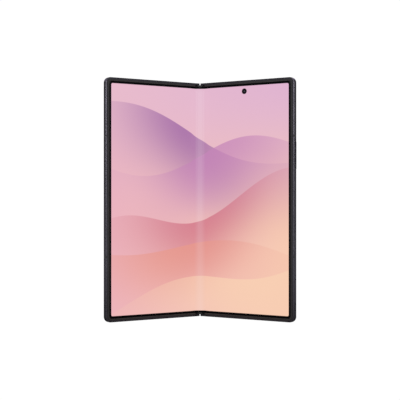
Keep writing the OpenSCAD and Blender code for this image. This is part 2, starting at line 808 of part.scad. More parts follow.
module cover_camera() color([0.08, 0.08, 0.1]) on_half(-1) {
    slab([cover_cam_x - cam_box, cover_cam_x + cam_box], [seat_y, box_back],
        [cover_cam_z - cam_box, cover_cam_z + cam_box], 0.4);
    post(cover_cam_x, cover_cam_z, [ledge_y - 0.2, glass_y - 0.02], cover_cam_r);
}

module left_battery() color([0.25, 0.25, 0.27]) on_half(-1)
    slab([cavity_x + 1, half_w - 4.6], [seat_y, battery_back],
        [second_battery_z, second_battery_z + second_battery_h], 1);

module sub_board() color([0.1, 0.3, 0.18]) on_half(-1) {
    z = sub_board_z;
    split = (board_x + sub_board_x) / 2 + 4;
    slab([board_x, sub_board_x], [seat_y, seat_y + board_t], z, 0.5);
    slab([board_x + shield_edge, split - shield_wall], [seat_y + 0.4, ledge_y - 0.3],
        [z[0] + shield_edge, z[1] - shield_edge], 0.5);
    slab([split + shield_wall, sub_board_x - shield_edge], [seat_y + 0.4, ledge_y - 0.3],
        [z[0] + 2 * shield_edge, z[1] - shield_edge], 0.5);
}

module upper_speaker() color([0.15, 0.15, 0.16]) on_half(-1)
    slab([upper_speaker_x, speaker_out], [seat_y, box_back],
        [body_h - speaker_l, body_h - front_ledge_w - gap], 1);

module vibration_motor() color([0.65, 0.65, 0.66]) on_half(-1)
    slab([motor_x, motor_x + motor_size[0]], [seat_y, box_back], [motor_z, motor_z + motor_size[1]], 0.6);

module left_antenna_bands() color([0.13, 0.12, 0.14]) on_half(-1) band_pieces();
module left_screws() color([0.7, 0.7, 0.7]) on_half(-1) half_screws();
module left_magnets() color([0.7, 0.7, 0.72]) on_half(-1) magnets();
module left_wing_plate() color([0.6, 0.6, 0.62]) on_half(-1) wing_plate();

module right_frame() color([0.2, 0.19, 0.22]) on_half(1) difference() {
    frame_blank();
    sound_holes(right_sound_x);
    mic_hole(port_x - mic_x);
    port_body(port_wall + 0.02, port_l + 2);
    key_slot(volume_z, volume_l);
    key_slot(side_key_z, side_key_l);
}

// Hole for a key through the side wall, with room for its flange behind
module key_slot(z, l) {
    slab_along_x([half_w - wall - 1, half_w + 1], key_w + 2 * gap, [z - l / 2 - gap, z + l / 2 + gap],
        key_w / 2 - 0.05);
    slab([half_w - front_ledge_w - 0.1, half_w - wall], [seat_y - 0.1, ledge_y],
        [z - l / 2 - key_flange_l - 0.3, z + l / 2 + key_flange_l + 0.3]);
}

// A bar with round ends, seen from the side
module slab_along_x(x, w, z, r) {
    translate([x[0], 0, 0])
        rotate([90, 0, 90])
            linear_extrude(x[1] - x[0]) rounded([key_y - w / 2, key_y + w / 2], z, r);
}

// A key: its face, a flange that keeps it in, and the nubs that press the switches
module key_body(z, l, face_x, flange_x, nubs) {
    slab_along_x([flange_x - gap, face_x], key_w, [z - l / 2, z + l / 2], key_w / 2 - 0.1);
    slab_along_x([flange_x - key_flange_t, flange_x], key_flange_w,
        [z - l / 2 - key_flange_l, z + l / 2 + key_flange_l], 0.2);
    for (n = nubs) translate([half_w - front_ledge_w, key_y, z + n])
        rotate([0, 90, 0]) cylinder(h = flange_x - 0.2 - half_w + front_ledge_w, r = 0.5, $fn = coarse);
}

// The volume key rocks on a half-round bar on the back of its flange
module volume_key() color([0.2, 0.19, 0.22]) on_half(1) {
    key_body(volume_z, volume_l, half_w + volume_proud, volume_flange_x, [-dome_dz, dome_dz]);
    post(volume_flange_x - key_flange_t, volume_z, [key_y - key_w / 2, key_y + key_w / 2], fulcrum_r);
}

module side_key() color([0.16, 0.15, 0.18]) on_half(1)
    key_body(side_key_z, side_key_l, half_w, half_w - wall - gap, [0]);

// Dome switches and the volume key's rest, on a bracket that stands on the mid plate
module key_switches() color([0.6, 0.5, 0.2]) on_half(1) {
    face_x = switch_x + switch_t;
    slab([switch_x, face_x], [seat_y, ledge_y - 0.2], [side_key_z - dome_dz, volume_z + dome_dz + 3]);
    for (z = [side_key_z, volume_z - dome_dz, volume_z + dome_dz])
        translate([face_x - 0.1, key_y, z]) rotate([0, 90, 0]) cylinder(h = 0.75, r = 0.8, $fn = coarse);
    slab([face_x - 0.1, volume_flange_x - key_flange_t - fulcrum_r - gap], [key_y - 0.6, key_y + 0.6],
        [volume_z - 0.8, volume_z + 0.8]);
}

module right_midplate() color([0.5, 0.5, 0.52]) on_half(1) difference() {
    midplate_blank(main_battery_z, main_battery_h);
    post(inner_cam_x, body_h - inner_cam_down, [0, half_t], inner_cam_r + 0.2);
    slab([port_x - port_w / 2 - 0.3, port_x + port_w / 2 + 0.3], [0, half_t], [0, port_l + 0.5]);
}

module right_bezel() color([0.12, 0.12, 0.13]) on_half(1) bezel();

module right_display() color([0.9, 0.72, 0.7]) on_half(1) difference() {
    display_panel();
    post(inner_cam_x, body_h - inner_cam_down, [-1, half_t], inner_cam_r, fine);
}

module rear_glass() color([0.22, 0.21, 0.24]) on_half(1) difference() {
    outer_glass();
    slab([island_x - island_w / 2 - gap, island_x + island_w / 2 + gap], [0, 2 * half_t],
        [island_top - island_l - gap, island_top + gap], island_w / 2);
    post(flash_x(), flash_z(), [0, 2 * half_t], flash_r + gap);
}

function flash_x() = island_x - island_w / 2 - 4.5;
function flash_z() = island_top - island_w / 2;

// The front camera looks through a round hole in the screen
module inner_camera() color([0.03, 0.03, 0.04]) on_half(1) {
    z = body_h - inner_cam_down;
    slab([inner_cam_x - cam_box, inner_cam_x + cam_box], [seat_y, box_back],
        [z - cam_box, z + cam_box], 0.4);
    difference() {
        post(inner_cam_x, z, [screen_y + 0.02, seat_y + 0.2], inner_cam_r - gap, fine);
        translate([inner_cam_x, screen_y - 0.01, z])
            rotate([-90, 0, 0]) cylinder(h = 0.25, r1 = 0.9, r2 = 0.5, $fn = fine);
    }
    post(inner_cam_x, z, [screen_y + 0.12, seat_y], 0.5, fine);
}

// A pill-shaped housing with a raised ring round each lens
module camera_island() color([0.2, 0.19, 0.22]) on_half(1) difference() {
    union() {
        slab([island_x - island_w / 2, island_x + island_w / 2], [glass_y, half_t + island_t],
            [island_top - island_l, island_top], island_w / 2 - 0.01);
        for (i = [-1:1])
            post(island_x, island_mid + i * lens_step, [half_t, half_t + island_t + lens_ring_h],
                lens_r + lens_ring_w, fine);
    }
    for (i = [-1:1]) {
        post(island_x, island_mid + i * lens_step, [0, 2 * half_t], lens_r - 0.5, fine);
        post(island_x, island_mid + i * lens_step,
            [half_t + island_t + 0.05, 2 * half_t], lens_r + gap, fine);
    }
}

module camera_lenses() color([0.04, 0.04, 0.06]) on_half(1)
    for (i = [-1:1])
        post(island_x, island_mid + i * lens_step,
            [half_t + island_t + 0.05, half_t + island_t + 0.5], lens_r, fine);

module camera_modules() color([0.3, 0.3, 0.32]) on_half(1)
    for (i = [-1:1]) {
        z = island_mid + i * lens_step;
        slab([island_x - lens_box, island_x + lens_box], [seat_y, box_back],
            [z - lens_box, z + lens_box], 0.6);
        difference() {
            post(island_x, z, [ledge_y - 0.2, half_t + island_t - 0.2], lens_r - 0.8, fine);
            translate([island_x, half_t + island_t - 1, z])
                rotate([-90, 0, 0]) cylinder(h = 1, r1 = 1.6, r2 = 3.2, $fn = fine);
        }
    }

module camera_flash() color([0.9, 0.88, 0.75]) on_half(1)
    post(flash_x(), flash_z(), [ledge_y - 0.3, half_t], flash_r);

module main_battery() color([0.25, 0.25, 0.27]) on_half(1)
    slab([cavity_x + 1, half_w - 5], [seat_y, battery_back - 0.15],
        [main_battery_z, main_battery_z + main_battery_h], 1);

module main_board() color([0.1, 0.3, 0.18]) on_half(1) {
    slab([board_x, main_board_x], [seat_y, seat_y + board_t], main_board_z, 0.5);
    slab([board_x + 0.2, board_x + 1.8], [seat_y + 0.4, ledge_y - 0.5],
        [body_h - cable_in - cable_w / 2, body_h - cable_in + cable_w / 2]);
}

// Two columns of two drawn cans, with the split higher in the outer column
module board_shields() color([0.72, 0.72, 0.74]) on_half(1) {
    x = (board_x + main_board_x) / 2;
    z = [main_board_z[0] + shield_edge, main_board_z[1] - shield_edge];
    half_h = (z[1] - z[0]) / 2;
    for (column = [[board_x + shield_edge + 0.5, x - 0.5, 0], [x + 0.5, main_board_x - shield_edge, 3.5]]) {
        split = z[0] + half_h + column[2];
        slab([column[0], column[1]], [seat_y + board_t, ledge_y - 0.3], [z[0], split - 0.5], 0.6);
        slab([column[0], column[1]], [seat_y + board_t, ledge_y - 0.3], [split + 0.5, z[1]], 0.6);
    }
}

module stadium(w, h) {
    rounded([port_x - w / 2, port_x + w / 2], [port_y - h / 2, port_y + h / 2], h / 2 - 0.01);
}

module port_body(extra, l) {
    translate([0, 0, -1]) linear_extrude(l + 1) stadium(port_w + 2 * extra, port_h + 2 * extra);
}

// The charging port: a drawn shell, a closed back and a tongue in the middle
module usb_c_port() color([0.55, 0.55, 0.57]) on_half(1) {
    difference() {
        translate([0, 0, gap]) linear_extrude(port_l - gap)
            stadium(port_w + 2 * port_wall, port_h + 2 * port_wall);
        port_body(0, port_l - 0.8);
    }
    slab([port_x - 3.35, port_x + 3.35], [port_y - 0.35, port_y + 0.35], [1, port_l - 0.5], 0.3);
}

module lower_speaker() color([0.15, 0.15, 0.16]) on_half(1)
    slab([lower_speaker_x, speaker_out], [seat_y, box_back],
        [front_ledge_w + gap, front_ledge_w + gap + speaker_l], 1);

module charging_coil() color([0.75, 0.45, 0.2]) on_half(1) difference() {
    z = main_battery_z + main_battery_h / 2;
    post(coil_x, z, [battery_back - 0.1, glass_y - 0.05], coil_r, 96);
    post(coil_x, z, [0, half_t], coil_r / 2, 96);
}

module right_antenna_bands() color([0.13, 0.12, 0.14]) on_half(1) band_pieces();
module right_screws() color([0.7, 0.7, 0.7]) on_half(1) half_screws();
module right_magnets() color([0.7, 0.7, 0.72]) on_half(1) magnets();
module right_wing_plate() color([0.6, 0.6, 0.62]) on_half(1) wing_plate();

spine_cover();
spine_end_caps();
fold_support();
display_fold_zone();
hinge_flex_cables();
upper_hinge_bracket();
lower_hinge_bracket();
hinge_pins();
friction_springs();
spine_screws();
upper_left_idler();
lower_left_idler();
upper_right_idler();
lower_right_idler();
left_frame();
left_midplate();
left_bezel();
left_display();
cover_glass();
cover_display();
cover_camera();
left_battery();
sub_board();
upper_speaker();
vibration_motor();
sim_reader();
left_antenna_bands();
left_screws();
left_magnets();
upper_left_arm();
lower_left_arm();
sim_tray();
left_wing_plate();
right_frame();
right_midplate();
right_bezel();
right_display();
rear_glass();
inner_camera();
camera_island();
camera_lenses();
camera_modules();
camera_flash();
main_battery();
main_board();
board_shields();
usb_c_port();
lower_speaker();
key_switches();
charging_coil();
right_antenna_bands();
right_screws();
right_magnets();
upper_right_arm();
lower_right_arm();
volume_key();
side_key();
right_wing_plate();
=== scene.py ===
"""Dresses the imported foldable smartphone: one seamless inner screen that bends with the fold,
lens elements, port contacts, and a procedural finish for every piece, in a white studio."""
import json
import math

import bmesh
import bpy
import numpy as np
from bpy.props import FloatProperty, FloatVectorProperty, IntProperty, PointerProperty
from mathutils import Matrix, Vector


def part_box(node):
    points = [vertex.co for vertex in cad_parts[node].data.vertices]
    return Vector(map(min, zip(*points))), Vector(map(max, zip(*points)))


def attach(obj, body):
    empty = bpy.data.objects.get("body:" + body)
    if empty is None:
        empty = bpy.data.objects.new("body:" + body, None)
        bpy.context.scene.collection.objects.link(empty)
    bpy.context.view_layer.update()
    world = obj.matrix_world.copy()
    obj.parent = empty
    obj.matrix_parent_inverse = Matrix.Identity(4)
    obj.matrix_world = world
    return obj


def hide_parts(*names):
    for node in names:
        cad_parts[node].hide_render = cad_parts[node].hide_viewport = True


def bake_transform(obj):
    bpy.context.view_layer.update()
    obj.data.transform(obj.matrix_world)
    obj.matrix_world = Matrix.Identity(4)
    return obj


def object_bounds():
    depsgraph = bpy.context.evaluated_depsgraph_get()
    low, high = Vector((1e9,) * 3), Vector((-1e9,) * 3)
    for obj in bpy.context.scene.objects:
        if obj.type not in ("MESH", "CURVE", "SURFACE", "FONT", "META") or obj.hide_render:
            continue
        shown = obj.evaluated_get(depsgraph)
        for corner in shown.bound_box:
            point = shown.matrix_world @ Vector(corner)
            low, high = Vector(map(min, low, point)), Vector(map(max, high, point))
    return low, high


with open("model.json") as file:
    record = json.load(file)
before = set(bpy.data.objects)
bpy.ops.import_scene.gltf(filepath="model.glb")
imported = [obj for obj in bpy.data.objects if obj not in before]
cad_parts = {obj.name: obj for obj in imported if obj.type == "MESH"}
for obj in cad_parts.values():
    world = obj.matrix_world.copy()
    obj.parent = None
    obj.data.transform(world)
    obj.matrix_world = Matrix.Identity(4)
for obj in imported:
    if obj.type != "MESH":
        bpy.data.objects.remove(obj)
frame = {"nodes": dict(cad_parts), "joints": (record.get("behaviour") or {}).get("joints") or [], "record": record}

bl_info = {
    "name": "Foldable smartphone dresser",
    "version": (1, 0, 0),
    "blender": (4, 5, 0),
    "location": "3D View > Sidebar > Phone",
    "description": "Builds the inner screen, the lenses and the finishes of a foldable phone",
    "category": "Object",
}

MM = 0.001
CAD_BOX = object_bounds()
BODY_H = CAD_BOX[1].z - CAD_BOX[0].z

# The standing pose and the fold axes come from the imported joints.
FOLD = next(joint for joint in frame["joints"] if joint["name"] == "right_fold")
AXIS_X, AXIS_Y = FOLD["pos_m"][0], FOLD["pos_m"][1]
REST_FOLD = math.radians(FOLD["range_deg"][1])
HALVES = ((-1, "left"), (1, "right"))

# Turns that line a pattern up with each half as it stands
LEFT_TURN, RIGHT_TURN = (0.0, 0.0, REST_FOLD), (0.0, 0.0, -REST_FOLD)

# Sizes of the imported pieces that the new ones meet
AXIS_DEPTH = 1.65 * MM  # of the fold axes behind the rim's front
HALF_W = 71.6 * MM  # from the fold to the outer edge
HALF_T = 4.2 * MM
WINDOW_R = 5.1 * MM  # of the rear camera windows
WINDOW_T = 0.45 * MM
RING_W = 1.42 * MM  # of the polished rings round them

# Sizes of the new pieces
PANEL_CORNER = 1.65 * MM
THICKENS = 5.5 * MM, 3.0 * MM  # where the panel begins to thicken, and over what width
PRINT_EDGE = 0.04 * MM  # softness of printed edges behind the inner screen's film
CABLE_T = 0.12 * MM

# Strength at which the surround and the floor show as pure white
WHITE = 1.03

# Anodised metal darkens towards grazing angles instead of turning white.
EDGE_TINT = (0.3, 0.29, 0.31, 1.0)

# The picture's hills, from the farthest to the nearest: level, slope and rise of the crest, its
# waves across the screen and their phase, how far the colour fades down, where across it is
# strongest and how far that reaches, its strength, and the colour
HILLS = (
    (0.88, -0.22, 0.05, 0.9, 0.5, 0.4, 0.42, 0.5, 0.8, (0.34, 0.12, 0.38)),
    (0.66, 0.05, 0.07, 0.9, 3.5, 0.4, 0.62, 0.55, 0.75, (0.58, 0.24, 0.5)),
    (0.36, 0.22, 0.06, 1.1, 1.3, 0.36, 0.5, 0.55, 0.8, (0.66, 0.17, 0.24)),
    (0.34, -0.1, 0.06, 0.7, 4.6, 0.34, 0.38, 0.6, 0.7, (0.84, 0.33, 0.26)),
    (0.05, 0.2, 0.04, 1.0, 5.6, 0.4, 0.8, 0.8, 0.8, (0.98, 0.66, 0.47)),
)

# The softboxes: place, width and height, and share of the power in the settings
SOFTBOXES = {
    "softbox_left": ((-0.72, -1.36, 0.58), (0.32, 0.9), 1.05),
    "softbox_right": ((0.72, -1.36, 0.58), (0.32, 0.9), 1.0),
    "softbox_top": ((0.0, -0.7, 1.5), (1.4, 0.5), 1.0),
    "softbox_front": ((0.0, -1.9, 0.4), (0.34, 0.8), 0.4),
    "softbox_rear_right": ((0.55, 1.1, 0.95), (0.5, 0.5), 2.0),
    "softbox_rear_left": ((-0.9, 0.95, 0.9), (0.4, 0.6), 1.0),
}


def smooth(t):
    """Eases from 0 to 1 by three t squared minus two t cubed."""
    t = np.clip(t, 0.0, 1.0)
    return t * t * (3.0 - 2.0 * t)


def turned(out, depth, angle):
    """A point of a flat right half, at a distance out from the fold and a depth behind the rim,
    turned about the right fold axis."""
    along, behind = out - AXIS_X, depth - AXIS_DEPTH
    cos, sin = np.cos(angle), np.sin(angle)
    return AXIS_X + along * cos + behind * sin, AXIS_Y - along * sin + behind * cos


def on_half(side, out, depth, up):
    """Places points of a half in the standing pose. Side is 1 for the right half and -1 for
    the left."""
    x, y = turned(out, depth, REST_FOLD)
    x, y, up = np.broadcast_arrays(side * x, y, up)
    return np.stack([x, y, up], axis=-1)


def flat_place(point):
    """Distance out from the fold and depth behind the rim of a point of the right half."""
    from_fold = point - Vector(on_half(1, 0.0, 0.0, point.z).tolist())
    cos, sin = math.cos(REST_FOLD), math.sin(REST_FOLD)
    return from_fold.dot(Vector((cos, -sin, 0.0))), from_fold.dot(Vector((sin, cos, 0.0)))


def centre_of(node):
    low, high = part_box(node)
    return (low + high) / 2


def lens_centres():
    """The middles of the three rear camera windows."""
    low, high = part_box("camera_lenses")
    middle = (low + high) / 2
    step = (high.z - low.z) / 2 - WINDOW_R
    return [Vector((middle.x, middle.y, middle.z + place * step)) for place in (-1, 0, 1)]


class ScreenLook(bpy.types.PropertyGroup):
    """Sizes and colours of the inner screen."""

    flex_width: FloatProperty(
        name="Flexible width", description="Width of the bending part on each side of the fold",
        default=8 * MM, unit="LENGTH")
    front_depth: FloatProperty(
        name="Depth", description="Depth of the film's front behind the rim's front",
        default=0.25 * MM, unit="LENGTH")
    thickness: FloatProperty(
        name="Thickness", description="Thickness of the whole panel",
        default=0.45 * MM, unit="LENGTH")
    flex_thickness: FloatProperty(
        name="Flexible thickness", description="Thickness of the panel where it bends",
        default=0.33 * MM, unit="LENGTH")
    edge: FloatProperty(
        name="Edge", description="Distance of the panel's edge from the edge of the body",
        default=1.95 * MM, unit="LENGTH")
    side_border: FloatProperty(
        name="Side border", description="Distance of the lit area from each outer edge",
        default=3.87 * MM, unit="LENGTH")
    top_border: FloatProperty(
        name="Top border", description="Distance of the lit area from the top edge",
        default=3.86 * MM, unit="LENGTH")
    bottom_border: FloatProperty(
        name="Bottom border", description="Distance of the lit area from the bottom edge",
        default=4.02 * MM, unit="LENGTH")
    margin: FloatProperty(
        name="Margin", description="Width of the matt strip along the panel's outer edges",
        default=0.42 * MM, unit="LENGTH")
    lit_radius: FloatProperty(
        name="Lit corner", description="Corner radius of the lit area",
        default=1.0 * MM, unit="LENGTH")
    camera_out: FloatProperty(
        name="Camera place", description="Distance of the inner camera from the fold",
        default=35 * MM, unit="LENGTH")
    camera_down: FloatProperty(
        name="Camera height", description="Distance of the inner camera from the top",
        default=7.3 * MM, unit="LENGTH")
    camera_radius: FloatProperty(
        name="Camera disc", description="Radius of the inner camera's black disc",
        default=1.85 * MM, unit="LENGTH")
    # A painted highlight: the picture is mixed towards a pale tint along the fold.
    crease_highlight: FloatProperty(
        name="Crease haze", description="How much paler the picture looks along the fold",
        default=0.09, min=0.0, max=1.0, subtype="FACTOR")
    brightness: FloatProperty(
        name="Brightness", description="Strength of the panel's own light",
        default=0.96, min=0.0)


class CableLook(bpy.types.PropertyGroup):
    """Course of the flat cables across the spine."""

    cable_width: FloatProperty(
        name="Width", description="Width of each flat cable", default=12 * MM, unit="LENGTH")
    cable_reach: FloatProperty(
        name="Reach", description="Distance from the fold to the cable's end",
        default=10.3 * MM, unit="LENGTH")
    cable_bend: FloatVectorProperty(
        name="Bend", description="Where the bend begins and ends, from the fold",
        default=(1.6 * MM, 5.4 * MM), size=2, unit="LENGTH")
    cable_depth: FloatVectorProperty(
        name="Depths", description="Depth of the cable in the spine and in the half",
        default=(1.95 * MM, 2.85 * MM), size=2, unit="LENGTH")


class MetalLook(bpy.types.PropertyGroup):
    """Colour and roughness of the anodised metal."""

    frame_colour: FloatVectorProperty(
        name="Frame", description="Colour of the anodised frame",
        default=(0.106, 0.1, 0.119), subtype="COLOR", min=0.0, max=1.0)
    frame_roughness: FloatProperty(
        name="Roughness", description="Roughness of the anodised frame",
        default=0.27, min=0.0, max=1.0, subtype="FACTOR")


class StudioLook(bpy.types.PropertyGroup):
    """Place of the camera and strength of the lights."""

    camera_distance: FloatProperty(
        name="Camera distance", description="Distance of the camera from the origin",
        default=0.6585, unit="LENGTH")
    camera_height: FloatProperty(
        name="Camera height", description="Height of the camera above the floor",
        default=0.07905, unit="LENGTH")
    lens: FloatProperty(
        name="Lens", description="Focal length of the camera in millimetres",
        default=89.3, min=10.0, unit="CAMERA")
    surround: FloatProperty(
        name="Surround", description="Brightness of the surround that the phone reflects",
        default=0.27, min=0.0)
    floor_glow: FloatProperty(
        name="Floor glow", description="Brightness of the floor that the phone reflects",
        default=0.36, min=0.0)
    softbox: FloatProperty(
        name="Softboxes", description="Power of each front softbox in watts",
        default=3.6, min=0.0)


class Finish:
    """A material under construction: adds nodes and joins them, from sockets or plain values."""

    def __init__(self, name):
        self.material = bpy.data.materials.new(name)
        self.material.use_nodes = True
        self.tree = self.material.node_tree
        self.shader = self.tree.nodes["Principled BSDF"]

    def join(self, value, socket):
        if isinstance(value, bpy.types.NodeSocket):
            self.tree.links.new(value, socket)
        else:
            socket.default_value = value

    def add(self, kind, inputs, **options):
        node = self.tree.nodes.new(kind)
        for option, value in options.items():
            setattr(node, option, value)
        for place, value in inputs.items():
            self.join(value, node.inputs[place])
        return node

    def set(self, **sockets):
        """Joins the shader's sockets, named with underscores for spaces."""
        for name, value in sockets.items():
            self.join(value, self.shader.inputs[name.replace("_", " ")])
        return self

    def math(self, operation, a, b=0.0):
        return self.add("ShaderNodeMath", {0: a, 1: b}, operation=operation).outputs[0]

    def vector(self, operation, a, b=(0.0, 0.0, 0.0)):
        node = self.add("ShaderNodeVectorMath", {0: a, 1: b}, operation=operation)
        return node.outputs["Value" if operation in ("LENGTH", "DISTANCE") else "Vector"]

    def ramp(self, value, low, high, to_low=0.0, to_high=1.0):
        """Runs smoothly from one value to another as the input goes from low to high."""
        inputs = {0: value, 1: low, 2: high, 3: to_low, 4: to_high}
        node = self.add("ShaderNodeMapRange", inputs, interpolation_type="SMOOTHSTEP")
        return node.outputs[0]

    def band(self, value, middle, inner, outer, strength=1.0, beyond=0.0):
        """Full strength as far as an inner distance from the middle value, and from there
        smoothly to another strength at the outer distance."""
        apart = self.math("ABSOLUTE", self.math("SUBTRACT", value, middle))
        return self.ramp(apart, inner, outer, strength, beyond)

    def wave(self, value, pitch):
        """The sine of a distance, one turn to each pitch."""
        return self.math("SINE", self.math("MULTIPLY", value, 2 * math.pi / pitch))

    def mix(self, factor, a, b):
        inputs = {"Factor": factor, 6: a, 7: b}
        return self.add("ShaderNodeMix", inputs, data_type="RGBA").outputs[2]

    def object_point(self):
        return self.add("ShaderNodeTexCoord", {}).outputs["Object"]

    def place(self, centre=(0.0, 0.0, 0.0), turn=(0.0, 0.0, 0.0)):
        """Object coordinates about a centre, turned back into line with a half."""
        inputs = {"Vector": self.object_point(), "Location": centre, "Rotation": turn}
        return self.add("ShaderNodeMapping", inputs, vector_type="TEXTURE").outputs[0]

    def from_axis(self, point):
        """Distance from the axis that runs through the point's origin along its depth."""
        return self.vector("LENGTH", self.vector("MULTIPLY", point, (1.0, 0.0, 1.0)))

    def past_area(self, point, half_size, radius):
        """Distance beyond the core of a rounded rectangle about the origin. It equals the
        radius on the outline."""
        core = tuple(max(size - radius, 0.0) for size in half_size)
        beyond = self.vector("SUBTRACT", self.vector("ABSOLUTE", point), core)
        return self.vector("LENGTH", self.vector("MAXIMUM", beyond))

    def noise(self, scale, detail=3.0, stretch=(1.0, 1.0, 1.0)):
        """Noise with about the given number of grains to the metre."""
        mapping = self.add("ShaderNodeMapping", {"Vector": self.object_point(), "Scale": stretch})
        inputs = {"Vector": mapping.outputs[0], "Scale": scale, "Detail": detail}
        return self.add("ShaderNodeTexNoise", inputs).outputs["Fac"]

    def bump(self, height, depth, strength=1.0):
        inputs = {"Height": height, "Distance": depth, "Strength": strength}
        self.join(self.add("ShaderNodeBump", inputs).outputs[0], self.shader.inputs["Normal"])
        return self

    def varied(self, colour, spread, scale):
        """A colour that drifts a little lighter and darker over the surface."""
        light = tuple(min(1.0, c * (1 + spread)) for c in colour) + (1.0,)
        dark = tuple(c * (1 - spread) for c in colour) + (1.0,)
        return self.mix(self.ramp(self.noise(scale), 0.3, 0.7), dark, light)


def blasted_metal(name, colour, roughness, grain=9000.0):
    """Bead-blasted and anodised metal: a fine even grain and a slow drift of tone."""
    finish = Finish(name)
    drift = finish.noise(55.0, 2.0)
    finish.set(
        Base_Color=finish.varied(colour, 0.06, 120.0),
        Metallic=1.0,
        Roughness=finish.ramp(drift, 0.25, 0.75, roughness - 0.03, roughness + 0.04),
        Specular_Tint=EDGE_TINT,
    )
    return finish.bump(finish.noise(grain, 1.0), 0.0015 * MM, 0.5).material


def brushed_metal(name, colour, roughness, along=(9000.0, 9000.0, 60.0)):
    """Metal with fine hairlines along one direction."""
    finish = Finish(name)
    lines = finish.noise(1.0, 2.0, along)
    finish.set(
        Base_Color=finish.varied(colour, 0.1, 90.0),
        Metallic=1.0,
        Roughness=finish.ramp(lines, 0.3, 0.7, roughness - 0.07, roughness + 0.08),
    )
    return finish.bump(lines, 0.003 * MM, 0.6).material


def turned_metal(name, colour, roughness):
    """Metal with very fine turning marks, seen as a soft anisotropic grain."""
    finish = Finish(name)
    grain = finish.noise(7000.0, 2.0)
    finish.set(
        Base_Color=finish.varied(colour, 0.08, 150.0),
        Metallic=1.0,
        Roughness=finish.ramp(grain, 0.3, 0.7, roughness - 0.05, roughness + 0.05),
        Anisotropic=0.3,
    )
    return finish.bump(grain, 0.002 * MM, 0.4).material


def moulded_plastic(name, colour, roughness, level=0.4):
    """Plastic with a fine spark-eroded grain."""
    finish = Finish(name)
    finish.set(
        Base_Color=finish.varied(colour, 0.12, 200.0),
        Roughness=finish.ramp(finish.noise(140.0), 0.3, 0.7, roughness - 0.05, roughness + 0.06),
        Specular_IOR_Level=level,
    )
    return finish.bump(finish.noise(5000.0, 2.0), 0.006 * MM, 0.6).material


def satin_glass(name, colour, roughness):
    """Etched glass over a dark coat: a soft sheen with a very fine sparkle."""
    finish = Finish(name)
    sparkle = finish.noise(14000.0, 1.0)
    finish.set(
        Base_Color=finish.varied(colour, 0.05, 60.0),
        Roughness=finish.ramp(finish.noise(80.0), 0.3, 0.7, roughness - 0.03, roughness + 0.03),
        Coat_Weight=0.35,
        Coat_Roughness=0.22,
    )
    return finish.bump(sparkle, 0.002 * MM, 0.4).material


def soft_hills(finish, x, y, ground):
    """Layers one soft hill over another. A hill's crest is a level plus a slope plus a sine of
    the place across. Its colour is strongest at the crest and near one place across, and fades
    out below and to both sides."""
    colour = ground
    for level, slope, rise, waves, phase, fade, middle, reach, strength, tint in HILLS:
        turn = finish.math("ADD", finish.math("MULTIPLY", x, waves * 2 * math.pi), phase)
        swell = finish.math("MULTIPLY", finish.math("SINE", turn), rise)
        line = finish.math("ADD", finish.math("MULTIPLY", x, slope), level)
        below = finish.math("SUBTRACT", finish.math("ADD", line, swell), y)
        edge = finish.ramp(below, 0.0, 0.003)
        body = finish.ramp(below, 0.0, fade, strength, 0.0)
        near = finish.band(x, middle, 0.0, reach, 1.0, 0.16)
        amount = finish.math("MULTIPLY", finish.math("MULTIPLY", edge, body), near)
        colour = finish.mix(amount, colour, tint + (1.0,))
    return colour


def screen_picture(finish, x, y, crease_highlight):
    """Soft layered hills of pink, mauve, rose and peach, with a painted highlight that makes them a
    little paler along the crease. Both places run from 0 to 1 over the open screen."""
    lower = finish.mix(x, (0.88, 0.48, 0.54, 1), (0.97, 0.62, 0.46, 1))
    upper = finish.mix(x, (0.84, 0.52, 0.63, 1), (0.77, 0.47, 0.66, 1))
    ground = finish.mix(finish.ramp(y, 0.35, 1.0), lower, upper)
    # Painted highlight: a pale band mixed over the picture along the crease.
    crease_highlight_band = finish.band(x, 0.5, 0.0, 0.034, crease_highlight)
    return finish.mix(crease_highlight_band, soft_hills(finish, x, y, ground), (0.95, 0.88, 0.95, 1.0))


def screen_finish(look):
    """A lit panel behind a glossy film: the picture in a printed black border, a round camera
    window, and a matt strip along the outer edges."""
    finish = Finish("lit_screen")
    flat = finish.add("ShaderNodeUVMap", {}, uv_map="flat_screen").outputs[0]
    parts = finish.add("ShaderNodeSeparateXYZ", {0: flat})
    art = screen_picture(finish, parts.outputs[0], parts.outputs[1], look.crease_highlight)
    spread = finish.vector("MULTIPLY", flat, (2 * HALF_W, BODY_H, 0.0))
    centred = finish.vector("SUBTRACT", spread, (HALF_W, BODY_H / 2, 0.0))

    # The border and the matt strip, by the distance beyond the lit area
    lift = (0.0, (look.bottom_border - look.top_border) / 2, 0.0)
    lit = (HALF_W - look.side_border, (BODY_H - look.top_border - look.bottom_border) / 2, 1.0)
    far = finish.past_area(finish.vector("SUBTRACT", centred, lift), lit, look.lit_radius)
    border = finish.ramp(far, look.lit_radius, look.lit_radius + PRINT_EDGE)
    margin = look.side_border - look.edge - look.margin + look.lit_radius
    outer = finish.ramp(far, margin, margin + PRINT_EDGE)

    # The camera window, by the distance from its middle
    eye_place = (look.camera_out, BODY_H / 2 - look.camera_down, 0.0)
    gap = finish.vector("DISTANCE", centred, eye_place)
    window = finish.ramp(gap, look.camera_radius, look.camera_radius + PRINT_EDGE, 1.0, 0.0)
    ring = finish.band(gap, 0.95 * MM, 0.05 * MM, 0.1 * MM, 0.6)
    glint = finish.ramp(gap, 0.35 * MM, 0.6 * MM, 1.0, 0.0)
    eye = finish.mix(glint, (0.002, 0.002, 0.003, 1), (0.11, 0.11, 0.14, 1))
    front = finish.mix(ring, eye, (0.04, 0.04, 0.05, 1))
    dark = finish.math("MAXIMUM", border, window)
    finish.set(
        Base_Color=finish.mix(outer, front, (0.036, 0.034, 0.034, 1)),
        Roughness=finish.ramp(outer, 0.0, 1.0, 0.14, 0.5),
        Specular_IOR_Level=0.12,
        Emission_Color=finish.mix(dark, art, (0.0, 0.0, 0.0, 1.0)),
        Emission_Strength=look.brightness,
    )
    return finish.bump(finish.noise(90.0, 1.0), 0.02 * MM, 0.15).material


